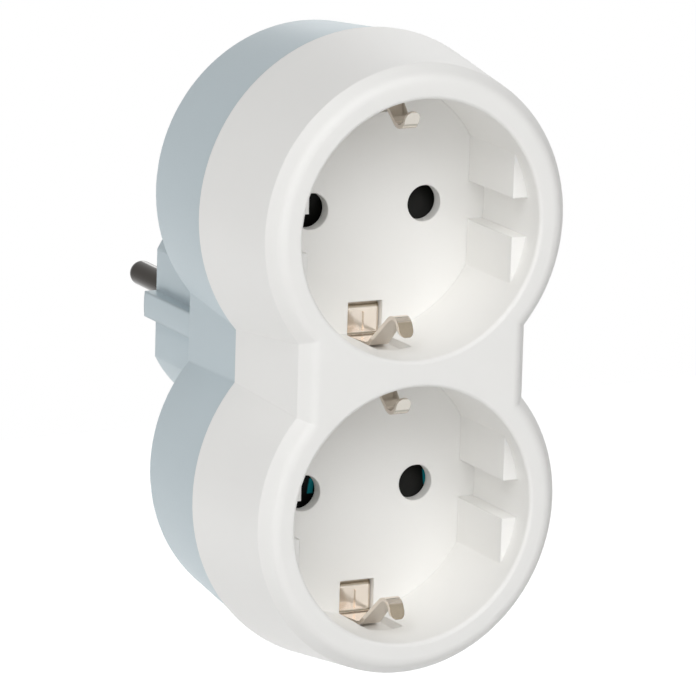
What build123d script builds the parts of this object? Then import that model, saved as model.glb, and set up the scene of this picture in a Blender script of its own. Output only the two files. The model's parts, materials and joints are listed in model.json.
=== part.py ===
from build123d import *
import os
from math import cos, radians, sin

# Two-way mains adapter: two round earthed sockets, one above the other, in front of a round earthed plug.
# Millimetres. The origin is the centre of the plug's face, +Y runs along the pins into the wall, +Z is up.
# Depths are measured from the front face to the wall, and heights and radii from a socket's own axis.

# Plug and socket standard sizes
pin_pitch = 19.0
pin_diameter = 4.0
pin_length = 19.0
pin_tip_rounding = 1.8
pin_hole_diameter = 5.6
well_radius = 19.75
well_depth = 18.0
plug_radius = 18.5
plug_length = 19.0

# Case
rim_width = 5.15
split_flare = 2.3
rear_taper = 2.4
waist_inset = 6.6
waist_flare = 1.7
waist_taper = 1.9
front_depth = 20.4
case_wall = 2.0
face_wall = 2.0
well_wall = 1.6
cup_gap = 0.9
floor_thickness = 2.0
rim_band_width = 1.75
rim_band_depth = 2.4
rim_blend_radius = 2.0
mouth_rounding = 0.6
split_edge = 0.35
split_step = 0.3
rear_edge_radius = 1.2
tongue_width = 0.9
tongue_height = 1.5
tongue_clearance = 0.1

# Side flats of each well
flat_inset = 2.7
flat_start = 3.85
flat_groove_width = 5.9

# Plug body
plug_wall = 2.2
plug_face_wall = 3.0
plug_lead_in = 2.8
plug_lead_in_width = 2.0
plug_flat_inset = 2.1
plug_rib_width = 4.0
earth_channel_width = 7.0
earth_channel_depth = 3.3
pin_sleeve_wall = 2.0
pin_sleeve_length = 15.0
pin_shoulder = 0.2
pin_clearance = 0.02

# Earth clips
strip_thickness = 0.6
clip_slot_width = 5.8
clip_side_clearance = 0.15
clip_base_recess = 0.9
clip_arm_width = 3.4
clip_tip_width = 2.4
clip_reach = 5.65
clip_tip_depth = 4.2
clip_arch_depth = 5.9
clip_fold_depth = 13.6
clip_arch_radius = 1.8
clip_arch_share = 0.7  # how far the arch's drawn corner stands above the rounded arch, in arch radii
clip_fold_radius = 1.2
clip_corner_radius = 0.7
clip_wall_offset = 0.3
clip_tip_drop = 2.8
clip_channel_depth = 1.0
clip_channel_start = 8.0
clip_groove_width = 0.6
clip_groove_length = 3.5
clip_groove_depth = 0.3
clip_clearance = 0.3

# Shutters
shutter_thickness = 3.0
shutter_end_gap = 0.3
shutter_cover = 0.6
shutter_wing_angle = 42.0
shutter_ramp = 2.0
hub_radius = 4.2
post_radius = 2.0
post_clearance = 0.05
spring_thickness = 0.3
spring_width = 1.8
spring_root_angle = -68.0
spring_tip_radius = 8.6
spring_bend_radius = 1.5

# Contact carriers and contacts
ring_gap = 0.4
ring_wall = 0.9
carrier_plate = 1.6
carrier_hole_diameter = 6.2
stop_angle = 4.0
stop_gap_angle = 2.0
stop_reach = 1.2
shutter_travel = 40.0
contact_bore = 4.7
contact_wall = 0.8
contact_slit = 0.7
contact_slit_length = 8.0
contact_base_thickness = 1.0
contact_lead_in = 0.5
sleeve_gap = 0.5
sleeve_wall = 0.9

# Bars, strap and rivets
bar_thickness = 0.8
busbar_width = 6.4
earth_bar_width = 6.0
pin_tip_room = 0.6
rear_rib_height = 0.6
rear_rib_width = 1.6
rivet_radius = 1.2
rivet_head_radius = 1.7
rivet_head_height = 0.4
rivet_clearance = 0.05
strap_bow = 0.7
strap_end_gap = 1.6
strap_bend_radius = 1.0

# Case screws
screw_radius = 1.3
screw_head_radius = 2.6
screw_head_height = 1.8
screw_sink = 0.4
screw_boss_radius = 2.8
screw_boss_height = 4.4
screw_boss_root = 0.6
screw_circle_offset = 0.25
screw_angle = 45.0
screw_clearance = 0.03
screw_seat_wall = 1.6
screw_recess_gap = 0.2
cross_width = 0.9
cross_length = 3.2
cross_depth = 1.0

# Places along the depth
floor_back = well_depth + floor_thickness
chamber_depth = shutter_thickness + 2 * shutter_end_gap
plate_front = floor_back + chamber_depth
plate_back = plate_front + carrier_plate
bar_back = plate_back + bar_thickness
strap_back = bar_back + bar_thickness
busbar_front = well_depth + pin_length + pin_tip_room
busbar_back = busbar_front + bar_thickness
rear_inside = busbar_back + rear_rib_height
body_depth = rear_inside + case_wall
face_depth = body_depth + plug_length
tip_depth = face_depth + pin_length
boss_end = floor_back + screw_boss_height
screw_seat = body_depth - screw_sink - screw_head_height
plug_inside = face_depth - plug_face_wall
lead_in_depth = face_depth - plug_lead_in

# Places across the body
socket_pitch = 2 * (well_radius + well_wall) + cup_gap
half_pitch = socket_pitch / 2
pin_x = pin_pitch / 2
pin_radius = pin_diameter / 2
shoulder_radius = pin_radius + pin_shoulder
pin_hole_radius = pin_hole_diameter / 2
lobe_front = well_radius + rim_width
lobe_split = lobe_front + split_flare
lobe_rear = lobe_split - rear_taper
waist_split = lobe_split - waist_inset
waist_front = waist_split - waist_flare
waist_rear = waist_split - waist_taper
lip_lobe = lobe_split - split_step - case_wall
lip_waist = waist_split - split_step - case_wall
cup_radius = well_radius + well_wall
shutter_radius = pin_x + pin_hole_radius + shutter_cover
ring_inside = shutter_radius + ring_gap
ring_outside = ring_inside + ring_wall
clip_base_width = clip_slot_width - 2 * clip_side_clearance
clip_base_front = well_depth + clip_base_recess
clip_slot_inner = ring_outside + clip_clearance
clip_leg = ring_outside + clip_clearance + strip_thickness
clip_arm = well_radius + clip_wall_offset
clip_channel = well_radius + clip_channel_depth
rivet_offset = clip_leg + clip_corner_radius + rivet_head_radius
clip_foot_end = rivet_offset + rivet_head_radius
contact_radius = contact_bore / 2 + contact_wall
sleeve_inside = contact_radius + sleeve_gap
sleeve_outside = sleeve_inside + sleeve_wall
plug_flat = plug_radius - plug_flat_inset
earth_channel = plug_radius - earth_channel_depth
screw_circle = well_radius + screw_circle_offset

# What is larger than the whole body, for cuts that run right through it
beyond = 2 * (half_pitch + lobe_split)

sockets = {"upper": half_pitch, "lower": -half_pitch}
sides = {"left": -1, "right": 1}
ends = {"top": 180, "bottom": 0}


def at(depth):
    """The Y coordinate of a depth behind the front face."""
    return depth - face_depth


def disc(radius, start, end):
    """A cylinder about the Y axis between two depths."""
    return extrude(Plane.XZ.offset(-at(start)) * Circle(radius), -(end - start))


def block(x0, x1, start, end, z0, z1):
    """A box from its limits in X, in depth and in Z."""
    size = Box(x1 - x0, end - start, z1 - z0)
    return Pos((x0 + x1) / 2, at((start + end) / 2), (z0 + z1) / 2) * size


def polar(radius, angle):
    """X and Z of a point at an angle above +X, seen from the front."""
    return radius * cos(radians(angle)), radius * sin(radians(angle))


def outline(points, rounds=()):
    """A flat face in the XY plane from (width, depth) points, with (point, radius) corners rounded."""
    face = make_face(Polyline(*[(w, at(d)) for w, d in points], close=True))
    for (w, d), radius in rounds:
        face = fillet(face.vertices().sort_by_distance((w, at(d), 0))[0], radius)
    return face


def turned(points, rounds=()):
    """A solid turned about the Y axis from (radius, depth) points."""
    return revolve(outline(points, rounds), Axis.Y)


def lobed(lobe, waist):
    """A figure-of-eight solid: a half outline turned about each socket axis, and one run along the waist."""
    round_lobe = revolve(lobe, Axis.Y)
    across = extrude(waist + mirror(waist, Plane.YZ), half_pitch, both=True)
    upper = Pos(0, 0, half_pitch) * Rot(0, -90, 0) * round_lobe
    lower = Pos(0, 0, -half_pitch) * Rot(0, 90, 0) * round_lobe
    return across + upper + lower


def lobed_prism(lobe_width, waist_width, start, end):
    """A figure-of-eight prism between two depths."""
    lobe = outline([(0, start), (lobe_width, start), (lobe_width, end), (0, end)])
    waist = outline([(0, start), (waist_width, start), (waist_width, end), (0, end)])
    return lobed(lobe, waist)


def at_sockets(solid):
    """The same solid on both socket axes."""
    return Pos(0, 0, half_pitch) * solid + Pos(0, 0, -half_pitch) * solid


def front_half(front_width, split_width):
    """Half the front shell's outline, with a soft rim band and a small edge at the split."""
    rim = (front_width - rim_band_width, 0)
    band = (front_width, rim_band_depth)
    last = (split_width, front_depth - split_edge)
    edge = (split_width - split_edge, front_depth)
    return outline([(0, 0), rim, band, last, edge, (0, front_depth)], [(rim, rim_blend_radius)])


def rear_half(split_width, rear_width):
    """Half the rear shell's outline, a step narrower than the front shell at the split."""
    start = split_width - split_step
    return outline([(0, front_depth), (start, front_depth), (rear_width, body_depth), (0, body_depth)])


def rear_outside():
    """The solid outer form of the rear shell, with its rounded back edge."""
    solid = lobed(rear_half(lobe_split, lobe_rear), rear_half(waist_split, waist_rear))
    return fillet(solid.faces().sort_by(Axis.Y)[-1].edges(), rear_edge_radius)


def inner_half(start_width, start, end_width, end):
    """Half the outline of a shell's hollow."""
    start_inside = start_width - case_wall
    end_inside = end_width - case_wall
    return outline([(0, start), (start_inside, start), (end_inside, end), (0, end)])


def well_cut():
    """The hollow of one well, with its rounded mouth."""
    wide = well_radius + mouth_rounding
    proud = at(-mouth_rounding)
    inner = (well_radius, at(mouth_rounding))
    outer = (wide, at(0))
    floor = at(well_depth)
    line = Polyline(inner, (well_radius, floor), (0, floor), (0, proud), (wide, proud), outer)
    mouth = RadiusArc(outer, inner, mouth_rounding)
    return revolve(make_face(line + mouth), Axis.Y)


def well_flats():
    """The two flats at the sides of one well, each split by a groove that guides the plug's rib."""
    band = disc(well_radius + well_wall / 2, flat_start, well_depth + floor_thickness / 2)
    open_width = 2 * (well_radius - flat_inset)
    band -= block(-open_width / 2, open_width / 2, flat_start, floor_back, -beyond, beyond)
    half_groove = flat_groove_width / 2
    return band - block(-beyond, beyond, flat_start, floor_back, -half_groove, half_groove)


def clip_cut():
    """The slot in a well's floor and the channel in its wall for the bottom clip."""
    half = clip_slot_width / 2
    slot_start = well_depth - floor_thickness
    channel_top = well_wall - well_radius
    slot = block(-half, half, slot_start, floor_back, -clip_channel, -clip_slot_inner)
    channel = block(-half, half, clip_channel_start, floor_back, -clip_channel, channel_top)
    return slot + channel


def screw_places():
    """X and Z of the four case screws, two in the outer part of each lobe."""
    x, z = polar(screw_circle, screw_angle)
    return [(sx * x, sz * (half_pitch + z)) for sx in (-1, 1) for sz in (-1, 1)]


def make_front_shell():
    """The white front: outer skin, two well cups, floors with holes, shutter posts and screw bosses."""
    shell = lobed(front_half(lobe_front, lobe_split), front_half(waist_front, waist_split))
    shell -= lobed(inner_half(lobe_front, face_wall, lobe_split, front_depth),
                   inner_half(waist_front, face_wall, waist_split, front_depth))
    rabbet_start = front_depth - tongue_height - tongue_clearance
    shell -= lobed_prism(lip_lobe + tongue_width + tongue_clearance,
                         lip_waist + tongue_width + tongue_clearance, rabbet_start, front_depth)
    web_half = lip_waist - tongue_clearance
    web = block(-web_half, web_half, well_depth, floor_back, -half_pitch, half_pitch)
    shell += at_sockets(disc(cup_radius, face_wall, floor_back)) + web
    shell -= at_sockets(well_cut())
    shell += at_sockets(well_flats())
    pin_hole = Pos(pin_x, 0, 0) * disc(pin_hole_radius, well_depth, floor_back)
    shell -= at_sockets(pin_hole + mirror(pin_hole, Plane.YZ))
    shell -= at_sockets(clip_cut() + Rot(0, 180, 0) * clip_cut())
    shell += at_sockets(disc(post_radius, floor_back, plate_front))
    for x, z in screw_places():
        boss = disc(screw_boss_radius, floor_back - screw_boss_root, boss_end)
        pilot = disc(screw_radius + screw_clearance, floor_back + screw_boss_root, boss_end)
        shell += Pos(x, 0, z) * boss
        shell -= Pos(x, 0, z) * pilot
    return shell


def prism(section, start, end):
    """A cross-section, drawn with X to the right and Z up, run between two depths."""
    return extrude(Plane((0, at(start), 0), x_dir=(1, 0, 0), z_dir=(0, -1, 0)) * section, -(end - start))


def plug_half(width):
    """Half the plug's outline, with the slope at its end that leads it into a socket."""
    slope = [(width, lead_in_depth), (width - plug_lead_in_width, face_depth)]
    return outline([(0, rear_inside), (width, rear_inside), *slope, (0, face_depth)])


def plug_body():
    """The solid plug: round, a flat and a guide rib at each side, an earth channel above and below."""
    flats = plug_half(plug_flat)
    body = revolve(plug_half(plug_radius), Axis.Y)
    body &= extrude(flats + mirror(flats, Plane.YZ), plug_radius, both=True)
    ribs = Circle(plug_radius) & Rectangle(2 * plug_radius, plug_rib_width)
    body += prism(ribs, rear_inside, lead_in_depth)
    half = earth_channel_width / 2
    channel = block(-half, half, body_depth, face_depth, earth_channel, beyond)
    return body - channel - Rot(0, 180, 0) * channel


def plug_hollow():
    """The hollow inside the plug, open to the body and clear of the earth channels."""
    inside = plug_radius - plug_wall
    section = Circle(inside) & Rectangle(2 * (plug_flat - plug_wall), 2 * inside)
    hollow = prism(section, rear_inside, plug_inside)
    half = earth_channel_width / 2 + plug_wall
    above = block(-half, half, rear_inside, plug_inside, earth_channel - plug_wall, beyond)
    return hollow - above - Rot(0, 180, 0) * above


def make_rear_shell():
    """The grey rear: outer skin, plug, pin sleeves, screw tubes, lip at the split and ribs for the bars."""
    outside = rear_outside()
    shell = outside - lobed(inner_half(lobe_split - split_step, front_depth, lobe_rear, rear_inside),
                            inner_half(waist_split - split_step, front_depth, waist_rear, rear_inside))
    lip_start = front_depth - tongue_height
    lip = lobed_prism(lip_lobe + tongue_width, lip_waist + tongue_width, lip_start, front_depth)
    lip -= lobed_prism(lip_lobe, lip_waist, lip_start, front_depth)
    shell += lip + plug_body()
    shell -= plug_hollow()
    sleeve_end = plug_inside - pin_sleeve_length
    for s in sides.values():
        shell += Pos(s * pin_x, 0, 0) * disc(shoulder_radius + pin_sleeve_wall, sleeve_end, plug_inside)
        shell -= Pos(s * pin_x, 0, 0) * disc(shoulder_radius + pin_clearance, sleeve_end, face_depth)
    slot_half = earth_bar_width / 2 + clip_clearance
    slot = block(-slot_half, slot_half, rear_inside, body_depth, earth_channel - pin_clearance,
                 earth_channel + bar_thickness + clip_clearance)
    shell -= slot + Rot(0, 180, 0) * slot
    head_room = screw_head_radius + screw_recess_gap
    seat = disc(head_room + screw_seat_wall / 2, screw_seat - screw_seat_wall, body_depth - rear_edge_radius)
    for x, z in screw_places():
        shell += Pos(x, 0, z) * disc(screw_boss_radius, boss_end, rear_inside)
        shell += Pos(x, 0, z) * seat & outside
        shell -= Pos(x, 0, z) * disc(head_room, screw_seat, body_depth)
        shell -= Pos(x, 0, z) * disc(screw_radius + screw_recess_gap, boss_end, screw_seat)
    return shell + rear_ribs()


def rear_ribs():
    """The ribs that press the earth bar and the two busbars forward when the case is closed."""
    half_rib = rear_rib_width / 2
    half_earth = earth_bar_width / 2
    half_bus = busbar_width / 2
    post_z = half_pitch + sleeve_outside + half_rib
    rib_z = half_pitch - rivet_head_radius - clip_clearance - half_rib
    ribs = block(-half_earth, half_earth, bar_back, rear_inside, post_z - half_rib, post_z + half_rib)
    for x in (-pin_x, pin_x):
        across = (x - half_bus, x + half_bus)
        ribs += block(*across, busbar_back, rear_inside, rib_z - half_rib, rib_z + half_rib)
    return ribs + mirror(ribs, Plane.XY)


def make_plug_pin():
    """A solid plug pin: rounded tip, shoulder inside the plug, and a tail headed over through its busbar."""
    tip = (pin_radius, tip_depth)
    head_front = busbar_front - rivet_head_height
    head = [(0, head_front), (rivet_head_radius, head_front), (rivet_head_radius, busbar_front)]
    tail = [(rivet_radius, busbar_front), (rivet_radius, busbar_back)]
    shoulder = [(shoulder_radius, busbar_back), (shoulder_radius, face_depth)]
    free = [(pin_radius, face_depth), tip, (0, tip_depth)]
    return turned(head + tail + shoulder + free, [(tip, pin_tip_rounding)])


def make_busbar(side):
    """A flat bar behind one pole's contacts, with holes for the tails of the pin and of each contact."""
    x = side * pin_x
    half = busbar_width / 2
    bar = block(x - half, x + half, busbar_front, busbar_back, -half_pitch, half_pitch)
    for z in (half_pitch, -half_pitch):
        bar += Pos(x, 0, z) * disc(half, busbar_front, busbar_back)
    for z in (half_pitch, 0, -half_pitch):
        bar -= Pos(x, 0, z) * disc(rivet_radius + rivet_clearance, busbar_front, busbar_back)
    return bar


def make_contact():
    """A slit contact tube that grips an inserted pin, with a closed base and a tail through the busbar."""
    inside = contact_bore / 2
    base_front = busbar_front - contact_base_thickness
    head_back = busbar_back + rivet_head_height
    start = plate_back + clip_clearance
    tube = [(inside + contact_lead_in, start), (contact_radius, start), (contact_radius, base_front)]
    base = [(sleeve_inside, base_front), (sleeve_inside, busbar_front)]
    tail = [(rivet_radius, busbar_front), (rivet_radius, busbar_back)]
    head = [(rivet_head_radius, busbar_back), (rivet_head_radius, head_back), (0, head_back)]
    bore = [(0, base_front), (inside, base_front), (inside, start + contact_lead_in)]
    contact = turned(tube + base + tail + head + bore)
    half = contact_slit / 2
    slit = block(-beyond, beyond, start, start + contact_slit_length, -half, half)
    return contact - slit - Rot(0, 90, 0) * slit


def make_carrier():
    """The black cup behind one well: ring round the shutter, plate with pin holes, a sleeve per contact."""
    carrier = disc(ring_outside, floor_back, plate_back) - disc(ring_inside, floor_back, plate_front)
    sleeve_end = busbar_front - contact_base_thickness - clip_clearance
    sleeve = disc(sleeve_outside, plate_back, sleeve_end)
    sleeve -= disc(sleeve_inside, plate_back, sleeve_end)
    for x in (-pin_x, pin_x):
        carrier += Pos(x, 0, 0) * sleeve
        carrier -= Pos(x, 0, 0) * disc(carrier_hole_diameter / 2, plate_front, plate_back)
    wing = shutter_wing_angle / 2
    closed = wing + stop_gap_angle
    opened = -(wing + shutter_travel + stop_gap_angle)
    lug_inside = ring_inside - stop_reach
    lug_outside = ring_inside + ring_wall / 2
    lug_front = floor_back + shutter_end_gap
    for first, last in ((closed, closed + stop_angle), (opened - stop_angle, opened)):
        lug = wedge(lug_inside, lug_outside, first, last, lug_front, plate_front)
        carrier += lug + Rot(0, 180, 0) * lug
    half_root = (spring_thickness + clip_clearance) / 2
    root = block(0, beyond, floor_back, plate_front, -half_root, half_root)
    return carrier - Rot(0, -spring_root_angle, 0) * root


def wedge(inside, outside, first, last, start, end):
    """A sector of a ring between two radii, two angles and two depths."""
    middle = (first + last) / 2
    edges = [Line(polar(inside, angle), polar(outside, angle)) for angle in (first, last)]
    for radius in (inside, outside):
        edges.append(ThreePointArc(polar(radius, first), polar(radius, middle), polar(radius, last)))
    return prism(make_face(edges), start, end)


def make_shutter():
    """A turning shutter: a hub on the post, and two wings with sloped fronts that two pins push aside."""
    start = floor_back + shutter_end_gap
    end = start + shutter_thickness
    half_wing = shutter_wing_angle / 2
    wing_root = (post_radius + hub_radius) / 2
    wing = wedge(wing_root, shutter_radius, -half_wing, half_wing, start, end)
    low = -pin_hole_radius
    high = shutter_radius * sin(radians(half_wing))
    slope = Polyline((at(start), low), (at(start), high), (at(start + shutter_ramp), high), close=True)
    ramp = extrude(Plane.YZ.offset(hub_radius + shutter_cover) * make_face(slope), shutter_radius)
    wing -= ramp
    shutter = disc(hub_radius, start, end) + wing + Rot(0, 180, 0) * wing
    return shutter - disc(post_radius + post_clearance, start, end)


def make_shutter_spring():
    """A leaf spring from a slot in the carrier's ring to the wing's lower edge."""
    mid = (floor_back + plate_front) / 2
    root = polar(ring_outside, spring_root_angle)
    bend = polar(ring_inside - spring_bend_radius, spring_root_angle)
    edge_angle = -shutter_wing_angle / 2
    tip_x, tip_z = polar(spring_tip_radius, edge_angle)
    lift = spring_thickness
    tip = (tip_x - lift * sin(radians(-edge_angle)), tip_z - lift * cos(radians(edge_angle)))
    path = FilletPolyline(root, bend, tip, radius=spring_bend_radius)
    leaf = trace(path, spring_thickness)
    return prism(leaf, mid - spring_width / 2, mid + spring_width / 2)


def strip(points, radii, thickness, width):
    """A strip of sheet metal bent along (depth, height) points and run across the X axis."""
    path = FilletPolyline(*[(at(d), z) for d, z in points], radius=radii)
    return extrude(Plane.YZ * trace(path, thickness), width / 2, both=True)


def make_clip():
    """The bottom earth clip: foot on the earth bar, base in the floor's slot, arm arched into the well."""
    half = strip_thickness / 2
    foot = plate_back - half
    base = clip_base_front + half
    arch = clip_arm + half - clip_reach - clip_arch_radius * clip_arch_share
    tip = clip_arm - clip_reach + clip_tip_drop
    points = [(foot, -clip_foot_end), (foot, -clip_leg), (base, -clip_leg), (base, -clip_arm),
              (clip_fold_depth, -clip_arm), (clip_arch_depth, -arch), (clip_tip_depth, -tip)]
    radii = 3 * [clip_corner_radius] + [clip_fold_radius, clip_arch_radius]
    clip = strip(points, radii, strip_thickness, clip_base_width)
    base_half = clip_base_width / 2
    arm_half = clip_arm_width / 2
    tip_half = clip_tip_width / 2
    plan = outline([(0, 0), (tip_half, 0), (tip_half, clip_arch_depth), (arm_half, clip_fold_depth),
                    (base_half, clip_base_front), (base_half, body_depth), (0, body_depth)])
    clip &= extrude(plan + mirror(plan, Plane.YZ), beyond, both=True)
    tip_round = block(-tip_half, tip_half, 0, clip_arch_depth, -tip - strip_thickness, tip_half - tip)
    tip_round -= Pos(0, 0, tip_half - tip) * disc(tip_half, 0, clip_arch_depth)
    groove_half = clip_groove_width / 2
    groove_back = clip_base_front + clip_groove_depth
    groove_low = clip_corner_radius - clip_arm
    groove_top = clip_groove_length - clip_arm
    groove = block(-groove_half, groove_half, clip_base_front, groove_back, groove_low, groove_top)
    groove += Pos(0, 0, groove_top) * disc(groove_half, clip_base_front, groove_back)
    rivet_hole = Pos(0, 0, -rivet_offset) * disc(rivet_radius + rivet_clearance, floor_back, plate_back)
    return clip - tip_round - groove - rivet_hole


def rivet_heights():
    """Heights of the four earth rivets, one for each clip."""
    return [z + s * rivet_offset for z in sockets.values() for s in (1, -1)]


def make_earth_bar():
    """The straight bar that joins the four clips behind the carriers."""
    reach = half_pitch + clip_foot_end
    bar = block(-earth_bar_width / 2, earth_bar_width / 2, plate_back, bar_back, -reach, reach)
    for z in rivet_heights():
        bar -= Pos(0, 0, z) * disc(rivet_radius + rivet_clearance, plate_back, bar_back)
    return bar


def make_plug_earth_strap():
    """The bent strap from the earth bar to the two contacts that lie in the plug's earth channels."""
    half = bar_thickness / 2
    low = earth_channel + half
    end = lead_in_depth - strap_end_gap
    start = body_depth + strap_end_gap
    bow = ((start + end) / 2, low + strap_bow)
    points = [(bar_back + half, 0), (bar_back + half, low), (start, low), bow, (end, low)]
    big_bend = (end - start) / 2
    upper = strip(points, [strap_bend_radius, big_bend, big_bend], bar_thickness, earth_bar_width)
    strap = upper + Rot(0, 180, 0) * upper
    for z in rivet_heights():
        if abs(z) < low:
            strap -= Pos(0, 0, z) * disc(rivet_radius + rivet_clearance, bar_back, strap_back)
    return strap


def make_earth_rivets():
    """The four rivets that hold the clips to the earth bar; the inner two also hold the plug's strap."""
    rivets = []
    foot_front = plate_back - strip_thickness
    for z in rivet_heights():
        back = strap_back if abs(z) < earth_channel else bar_back
        rivet = disc(rivet_radius, foot_front, back)
        rivet += disc(rivet_head_radius, foot_front - rivet_head_height, foot_front)
        rivet += disc(rivet_head_radius, back, back + rivet_head_height)
        rivets.append(Pos(0, 0, z) * rivet)
    return Compound(children=rivets)


def make_case_screws():
    """The four case screws, with cross recesses, driven from the back into the front shell's bosses."""
    end = floor_back + screw_boss_root + screw_recess_gap
    head_back = screw_seat + screw_head_height
    corner = (screw_head_radius, head_back)
    shank = [(0, end), (screw_radius, end), (screw_radius, screw_seat)]
    head = [(screw_head_radius, screw_seat), corner, (0, head_back)]
    screw = turned(shank + head, [(corner, screw_head_height / 2)])
    half_long = cross_length / 2
    half_wide = cross_width / 2
    cross = block(-half_long, half_long, head_back - cross_depth, head_back, -half_wide, half_wide)
    screw -= cross + Rot(0, 90, 0) * cross
    return Compound(children=[Pos(x, 0, z) * screw for x, z in screw_places()])


def make_nodes():
    """Every piece of the adapter, by name."""
    nodes = {
        "front_shell": make_front_shell(),
        "rear_shell": make_rear_shell(),
        "earth_bar": make_earth_bar(),
        "plug_earth_strap": make_plug_earth_strap(),
        "earth_rivets": make_earth_rivets(),
        "case_screws": make_case_screws(),
    }
    pin, contact, carrier = make_plug_pin(), make_contact(), make_carrier()
    shutter, spring, clip = make_shutter(), make_shutter_spring(), make_clip()
    for side, sign in sides.items():
        nodes[f"{side}_plug_pin"] = Pos(sign * pin_x, 0, 0) * pin
        nodes[f"{side}_busbar"] = make_busbar(sign)
    for name, z in sockets.items():
        nodes[f"{name}_contact_carrier"] = Pos(0, 0, z) * carrier
        nodes[f"{name}_shutter"] = Pos(0, 0, z) * shutter
        nodes[f"{name}_shutter_spring"] = Pos(0, 0, z) * spring
        for side, sign in sides.items():
            nodes[f"{name}_{side}_contact"] = Pos(sign * pin_x, 0, z) * contact
        for end, turn in ends.items():
            nodes[f"{name}_{end}_earth_clip"] = Pos(0, 0, z) * Rot(0, turn, 0) * clip
    return nodes


os.makedirs("parts", exist_ok=True)
for node_name, solid in make_nodes().items():
    export_step(solid, f"parts/{node_name}.step")
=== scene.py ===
import json
import math
import bpy
from mathutils import Matrix, Vector


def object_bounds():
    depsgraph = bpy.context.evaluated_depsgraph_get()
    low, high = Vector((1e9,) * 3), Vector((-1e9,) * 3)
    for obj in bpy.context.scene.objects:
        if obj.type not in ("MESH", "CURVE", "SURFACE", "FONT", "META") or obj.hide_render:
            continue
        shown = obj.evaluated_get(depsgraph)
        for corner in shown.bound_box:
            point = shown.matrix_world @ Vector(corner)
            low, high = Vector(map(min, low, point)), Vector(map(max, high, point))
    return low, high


# Two-way mains adapter: looks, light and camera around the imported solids. Metres, in the part's own frame.

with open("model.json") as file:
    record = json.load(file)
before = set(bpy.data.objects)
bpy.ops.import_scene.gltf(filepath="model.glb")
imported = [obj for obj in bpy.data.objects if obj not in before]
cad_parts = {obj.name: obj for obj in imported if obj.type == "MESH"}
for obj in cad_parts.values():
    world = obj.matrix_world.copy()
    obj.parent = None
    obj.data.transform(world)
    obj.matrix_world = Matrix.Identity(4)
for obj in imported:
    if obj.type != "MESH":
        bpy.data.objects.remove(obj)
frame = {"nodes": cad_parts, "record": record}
nodes = frame["nodes"]
cad_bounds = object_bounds()

MM = 0.001
FRONT = cad_bounds[0][1]
BOTTOM = cad_bounds[0][2]

# Camera, at the photograph's viewing angle, in degrees, aimed behind the middle of the front face
CAMERA_AZIMUTH = -27.131
CAMERA_ELEVATION = 13.097
CAMERA_ROLL = 1.658
CAMERA_DISTANCE = 0.91268
AIM_DEPTH = 0.02324
AIM_HEIGHT = -0.00110
CAMERA_AIM = Vector((0.0, FRONT + AIM_DEPTH, AIM_HEIGHT))
CAMERA_LENS = 310.31
CAMERA_SENSOR = 36.0

# Soft square lights: place from the aim, size across and power
LIGHTS = {
    "key_light": ((0.0, -0.90, 0.92), 0.9, 2.7),
    "left_key_light": ((-0.66, -0.72, 0.86), 0.9, 5.5),
    "left_fill_light": ((-0.90, -0.91, 0.13), 0.9, 2.9),
    "front_light": ((0.10, -1.13, 0.68), 0.9, 4.3),
    "low_bounce_light": ((-0.45, 0.32, -0.24), 0.20, 0.76),
    "back_light": ((0.75, 0.90, 0.60), 0.9, 4.0),
}

# Stage
FLOOR_DROP = 0.30
FLOOR_SIZE = 2.4
FLOOR_COLOUR = (0.90, 0.90, 0.90, 1)
FLOOR_ROUGHNESS = 0.9
FLOOR_GLOW = 0.78
WORLD_STRENGTH = 0.10
WHITE = (1, 1, 1, 1)

# Plastics: linear colour, roughness and gloss
WHITE_PLASTIC = (0.930, 0.924, 0.902)
WHITE_ROUGHNESS = 0.50
GREY_PLASTIC = (0.60, 0.69, 0.73)
GREY_ROUGHNESS = 0.44
SATIN_GLOSS = 0.3
BLACK_PLASTIC = (0.007, 0.007, 0.006)
BLACK_ROUGHNESS = 0.50
BLACK_GLOSS = 0.15
# Teal colour of the spots in the lower shutter's pin holes
TEAL_SPOT_COLOUR = (0.015, 0.360, 0.420)
PLASTIC_IOR = 1.5

# Metals: linear colour and roughness
NICKEL = (0.85, 0.77, 0.69)
NICKEL_ROUGHNESS = 0.12
# Painted reflection shades for the clips' tongues, standing for the dim surroundings they would mirror
DARK_REFLECTION_SHADE = (0.34, 0.29, 0.22)
DIM_REFLECTION_SHADE = (0.50, 0.475, 0.43)
# Pin metal, nearly black: a painted dark reflection of the room on the metal pins
PAINTED_DARK_PIN_METAL = (0.026, 0.021, 0.016)
PIN_ROUGHNESS = 0.10
BRASS = (0.76, 0.55, 0.26)
BRASS_ROUGHNESS = 0.25
STEEL = (0.62, 0.62, 0.63)
STEEL_ROUGHNESS = 0.28

# Noise: the values that count as its lowest and highest, and its finer layers
NOISE_RANGE = (0.3, 0.7)
SMOOTH_DETAIL = 2.0
GRAIN_DETAIL = 3.0
SPECK_DETAIL = 4.0

# Plastic surfaces: clouds of shade, grain, uneven gloss and rounded edges
CLOUD_SIZE = 14 * MM
CLOUD_TINT = 0.012
GRAIN_SIZE = 0.35 * MM
GRAIN_DEPTH = 0.002 * MM
GRAIN_ROUGHNESS = 0.05
MOULDED_EDGE = 0.30 * MM
SOFT_EDGE = 0.70 * MM

# Metal surfaces: waves, uneven polish as shares of the roughness, and rounded edges
WAVE_SIZE = 3.0 * MM
WAVE_TINT = 0.05
STAMPED_RIPPLE = 0.02 * MM
TURNED_RIPPLE = 0.004 * MM
SPECK_SIZE = 0.25 * MM
POLISH_RANGE = (0.7, 1.4)
SHEET_EDGE = 0.10 * MM

# Painted reflection shade on the clips' tongues, darker where they would mirror dim surroundings: the side
# that each faces with its painted shade, and how closely a surface faces it
PAINTED_REFLECTIONS = (((0.0, -0.87, 0.49), DARK_REFLECTION_SHADE), ((0.0, -0.87, -0.49), DIM_REFLECTION_SHADE))
PAINTED_REFLECTION_RANGE = (0.90, 0.99)

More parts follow.
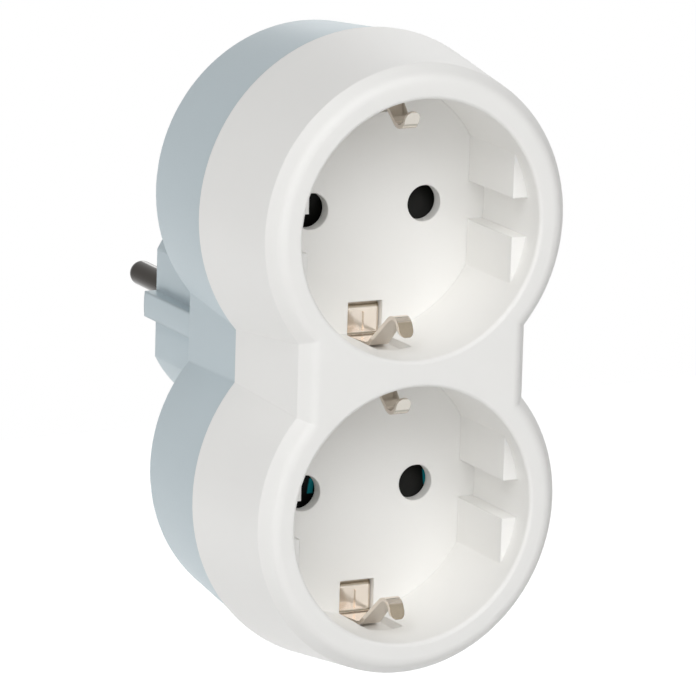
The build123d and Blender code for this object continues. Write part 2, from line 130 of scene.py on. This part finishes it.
# Teal spots on the lower shutter: lowest and highest X and Z beside its pin holes
TEAL_SPOTS = {
    "left": ((-7.15 * MM, -6.5 * MM), (-22.7 * MM, -20.4 * MM)),
    "right": ((12.55 * MM, 12.8 * MM), (-22.9 * MM, -20.8 * MM)),
}
TEAL_BLUR = 0.25 * MM


def new_material(name):
    """A material with its shader, and coordinates that follow the part."""
    material = bpy.data.materials.new(name)
    material.use_nodes = True
    tree = material.node_tree
    shader = tree.nodes["Principled BSDF"]
    place = tree.nodes.new("ShaderNodeTexCoord")
    return material, tree, shader, place.outputs["Object"]


def noise(tree, place, grain, detail):
    """Noise whose grains are about the given size, in metres."""
    node = tree.nodes.new("ShaderNodeTexNoise")
    node.inputs["Scale"].default_value = 1 / grain
    node.inputs["Detail"].default_value = detail
    tree.links.new(place, node.inputs["Vector"])
    return node.outputs["Fac"]


def spread(tree, value, low, high):
    """The noise value spread between two numbers."""
    node = tree.nodes.new("ShaderNodeMapRange")
    node.inputs["From Min"].default_value = NOISE_RANGE[0]
    node.inputs["From Max"].default_value = NOISE_RANGE[1]
    node.inputs["To Min"].default_value = low
    node.inputs["To Max"].default_value = high
    tree.links.new(value, node.inputs["Value"])
    return node.outputs["Result"]


def combine(tree, operation, first, second):
    """Two values joined by a product, the larger of the two or another operation."""
    node = tree.nodes.new("ShaderNodeMath")
    node.operation = operation
    tree.links.new(first, node.inputs[0])
    tree.links.new(second, node.inputs[1])
    return node.outputs[0]


def blend(tree, share, first, second):
    """A colour that goes from the first to the second, each a link or a plain colour."""
    node = tree.nodes.new("ShaderNodeMix")
    node.data_type = "RGBA"
    for name, colour in (("A", first), ("B", second)):
        if isinstance(colour, bpy.types.NodeSocket):
            tree.links.new(colour, node.inputs[name])
        else:
            node.inputs[name].default_value = (*colour, 1)
    tree.links.new(share, node.inputs["Factor"])
    return node.outputs["Result"]


def tint(tree, value, colour, change):
    """The colour, darker and lighter by a share of itself."""
    darker = [c * (1 - change) for c in colour]
    lighter = [min(1, c * (1 + change)) for c in colour]
    return blend(tree, value, darker, lighter)


def relief(tree, shader, height, depth, edge_radius):
    """Surface relief of the given depth over edges that look rounded, in metres."""
    edge = tree.nodes.new("ShaderNodeBevel")
    edge.inputs["Radius"].default_value = edge_radius
    node = tree.nodes.new("ShaderNodeBump")
    node.inputs["Strength"].default_value = 1
    node.inputs["Distance"].default_value = depth
    tree.links.new(height, node.inputs["Height"])
    tree.links.new(edge.outputs["Normal"], node.inputs["Normal"])
    tree.links.new(node.outputs["Normal"], shader.inputs["Normal"])


def moulded_plastic(name, colour, roughness, gloss, edge_radius=MOULDED_EDGE):
    """Moulded plastic: a fine spark-eroded grain, uneven gloss, soft edges and a slight change of shade."""
    material, tree, shader, place = new_material(name)
    cloud = noise(tree, place, CLOUD_SIZE, SMOOTH_DETAIL)
    grain = noise(tree, place, GRAIN_SIZE, GRAIN_DETAIL)
    shade = tint(tree, cloud, colour, CLOUD_TINT)
    uneven = spread(tree, grain, roughness - GRAIN_ROUGHNESS, roughness + GRAIN_ROUGHNESS)
    tree.links.new(shade, shader.inputs["Base Color"])
    tree.links.new(uneven, shader.inputs["Roughness"])
    relief(tree, shader, grain, GRAIN_DEPTH, edge_radius)
    shader.inputs["IOR"].default_value = PLASTIC_IOR
    shader.inputs["Specular IOR Level"].default_value = gloss
    return material


def band(tree, value, low, high):
    """1 where the value is between two numbers, and 0 away from them."""
    masks = []
    for outside, inside in ((low - TEAL_BLUR, low), (high + TEAL_BLUR, high)):
        node = tree.nodes.new("ShaderNodeMapRange")
        node.inputs["From Min"].default_value = outside
        node.inputs["From Max"].default_value = inside
        tree.links.new(value, node.inputs["Value"])
        masks.append(node.outputs["Result"])
    return combine(tree, "MULTIPLY", *masks)


def spotted_plastic(name):
    """The black plastic of the lower shutter, with the teal spots that show in its pin holes."""
    material = moulded_plastic(name, BLACK_PLASTIC, BLACK_ROUGHNESS, BLACK_GLOSS)
    tree = material.node_tree
    colour = tree.nodes["Principled BSDF"].inputs["Base Color"]
    place = tree.nodes.new("ShaderNodeTexCoord")
    split = tree.nodes.new("ShaderNodeSeparateXYZ")
    tree.links.new(place.outputs["Object"], split.inputs["Vector"])
    spots = []
    for across, upright in TEAL_SPOTS.values():
        column = band(tree, split.outputs["X"], *across)
        row = band(tree, split.outputs["Z"], *upright)
        spots.append(combine(tree, "MULTIPLY", column, row))
    share = combine(tree, "MAXIMUM", *spots)
    tree.links.new(blend(tree, share, colour.links[0].from_socket, TEAL_SPOT_COLOUR), colour)
    return material


def facing(tree, side):
    """0 to 1 as the surface turns towards a side."""
    place = tree.nodes.new("ShaderNodeTexCoord")
    node = tree.nodes.new("ShaderNodeVectorMath")
    node.operation = "DOT_PRODUCT"
    node.inputs[1].default_value = side
    tree.links.new(place.outputs["Normal"], node.inputs[0])
    share = tree.nodes.new("ShaderNodeMapRange")
    share.interpolation_type = "SMOOTHSTEP"
    share.inputs["From Min"].default_value = PAINTED_REFLECTION_RANGE[0]
    share.inputs["From Max"].default_value = PAINTED_REFLECTION_RANGE[1]
    tree.links.new(node.outputs["Value"], share.inputs["Value"])
    return share.outputs["Result"]


def plated_metal(name, colour, roughness, ripple, painted_reflections=()):
    """Bare or plated metal: slight waves from its making, uneven polish, and painted reflection shade on
    faces that turn towards given sides.
    """
    material, tree, shader, place = new_material(name)
    wave = noise(tree, place, WAVE_SIZE, SMOOTH_DETAIL)
    speck = noise(tree, place, SPECK_SIZE, SPECK_DETAIL)
    shade = tint(tree, wave, colour, WAVE_TINT)
    # Painted reflection shade: the colour darkens on faces turned towards each given side
    for side, painted_shade in painted_reflections:
        shade = blend(tree, facing(tree, side), shade, painted_shade)
    uneven = spread(tree, speck, *[roughness * share for share in POLISH_RANGE])
    tree.links.new(shade, shader.inputs["Base Color"])
    tree.links.new(uneven, shader.inputs["Roughness"])
    relief(tree, shader, wave, ripple, SHEET_EDGE)
    shader.inputs["Metallic"].default_value = 1
    return material


def make_materials():
    """One material for each of the record's slots."""
    return {
        "white_plastic": moulded_plastic("white_plastic", WHITE_PLASTIC, WHITE_ROUGHNESS, SATIN_GLOSS),
        "grey_plastic": moulded_plastic("grey_plastic", GREY_PLASTIC, GREY_ROUGHNESS, SATIN_GLOSS, SOFT_EDGE),
        "black_plastic": moulded_plastic("black_plastic", BLACK_PLASTIC, BLACK_ROUGHNESS, BLACK_GLOSS),
        "nickel_plate": plated_metal("nickel_plate", NICKEL, NICKEL_ROUGHNESS, STAMPED_RIPPLE, PAINTED_REFLECTIONS),
        "brass": plated_metal("brass", BRASS, BRASS_ROUGHNESS, STAMPED_RIPPLE),
        "bright_steel": plated_metal("bright_steel", STEEL, STEEL_ROUGHNESS, STAMPED_RIPPLE),
    }


def dress_nodes(materials):
    """Each solid gets the material of its slot, apart from the pins, whose metal is painted nearly black as a
    dark reflection, and the spotted shutter.
    """
    for part in frame["record"]["subparts"]:
        node = nodes[part["node"]]
        node.data.materials.clear()
        node.data.materials.append(materials[part["material_slot"]])
    # The pins' metal is painted nearly black, for the dark reflection of the room
    painted_dark_pin_metal = plated_metal("painted_dark_pin_metal", PAINTED_DARK_PIN_METAL, PIN_ROUGHNESS, TURNED_RIPPLE)
    for side in ("left", "right"):
        nodes[f"{side}_plug_pin"].data.materials[0] = painted_dark_pin_metal
    nodes["lower_shutter"].data.materials[0] = spotted_plastic("spotted_plastic")


def seen_directly(tree):
    """1 for rays from the camera, and for those that metal or glass sends on."""
    path = tree.nodes.new("ShaderNodeLightPath")
    mirrored = combine(tree, "MAXIMUM", path.outputs["Is Camera Ray"], path.outputs["Is Glossy Ray"])
    return combine(tree, "MAXIMUM", mirrored, path.outputs["Is Transmission Ray"])


def make_floor():
    """A wide pale floor well below the part, which a wall socket holds in the air."""
    low = BOTTOM - FLOOR_DROP
    half = FLOOR_SIZE / 2
    corners = [(-half, -half, low), (half, -half, low), (half, half, low), (-half, half, low)]
    mesh = bpy.data.meshes.new("floor")
    mesh.from_pydata(corners, [], [(0, 1, 2, 3)])
    floor = bpy.data.objects.new("floor", mesh)
    bpy.context.scene.collection.objects.link(floor)
    material = bpy.data.materials.new("pale_floor")
    material.use_nodes = True
    tree = material.node_tree
    shader = tree.nodes["Principled BSDF"]
    shader.inputs["Base Color"].default_value = FLOOR_COLOUR
    shader.inputs["Roughness"].default_value = FLOOR_ROUGHNESS
    shader.inputs["Emission Color"].default_value = WHITE
    glow = tree.nodes.new("ShaderNodeMath")
    glow.operation = "MULTIPLY"
    glow.inputs[1].default_value = FLOOR_GLOW
    tree.links.new(seen_directly(tree), glow.inputs[0])
    tree.links.new(glow.outputs[0], shader.inputs["Emission Strength"])
    mesh.materials.append(material)


def make_world():
    """Even white light all round, and pure white where it is seen directly."""
    world = bpy.data.worlds.new("studio")
    bpy.context.scene.world = world
    world.use_nodes = True
    tree = world.node_tree
    background = tree.nodes["Background"]
    background.inputs["Color"].default_value = WHITE
    strength = tree.nodes.new("ShaderNodeMapRange")
    strength.inputs["To Min"].default_value = WORLD_STRENGTH
    strength.inputs["To Max"].default_value = 1
    tree.links.new(seen_directly(tree), strength.inputs["Value"])
    tree.links.new(strength.outputs["Result"], background.inputs["Strength"])


def make_lights():
    """Soft lights that face the part."""
    for name, (place, size, power) in LIGHTS.items():
        data = bpy.data.lights.new(name, "AREA")
        data.shape = "SQUARE"
        data.size = size
        data.energy = power
        lamp = bpy.data.objects.new(name, data)
        lamp.location = CAMERA_AIM + Vector(place)
        lamp.rotation_euler = (-Vector(place)).to_track_quat("-Z", "Y").to_euler()
        lamp.visible_camera = False
        bpy.context.scene.collection.objects.link(lamp)


def make_camera():
    """The camera, turned a little about its own axis as in the photograph."""
    azimuth = math.radians(CAMERA_AZIMUTH)
    elevation = math.radians(CAMERA_ELEVATION)
    roll = math.radians(CAMERA_ROLL)
    flat = Vector((-math.sin(azimuth), math.cos(azimuth), 0))
    overhead = Vector((0, 0, 1))
    ahead = math.cos(elevation) * flat - math.sin(elevation) * overhead
    level = ahead.cross(overhead).normalized()
    upright = level.cross(ahead)
    right = math.cos(roll) * level + math.sin(roll) * upright
    up = right.cross(ahead)
    data = bpy.data.cameras.new("camera")
    data.lens = CAMERA_LENS
    data.sensor_width = CAMERA_SENSOR
    data.clip_end = CAMERA_DISTANCE + FLOOR_SIZE
    camera = bpy.data.objects.new("camera", data)
    turn = Matrix((right, up, -ahead)).transposed().to_4x4()
    camera.matrix_world = Matrix.Translation(CAMERA_AIM - CAMERA_DISTANCE * ahead) @ turn
    bpy.context.scene.collection.objects.link(camera)
    bpy.context.scene.camera = camera


def main():
    """Dress the solids and build the stage around them."""
    dress_nodes(make_materials())
    make_floor()
    make_world()
    make_lights()
    make_camera()
    bpy.context.scene.view_settings.view_transform = "Standard"


main()
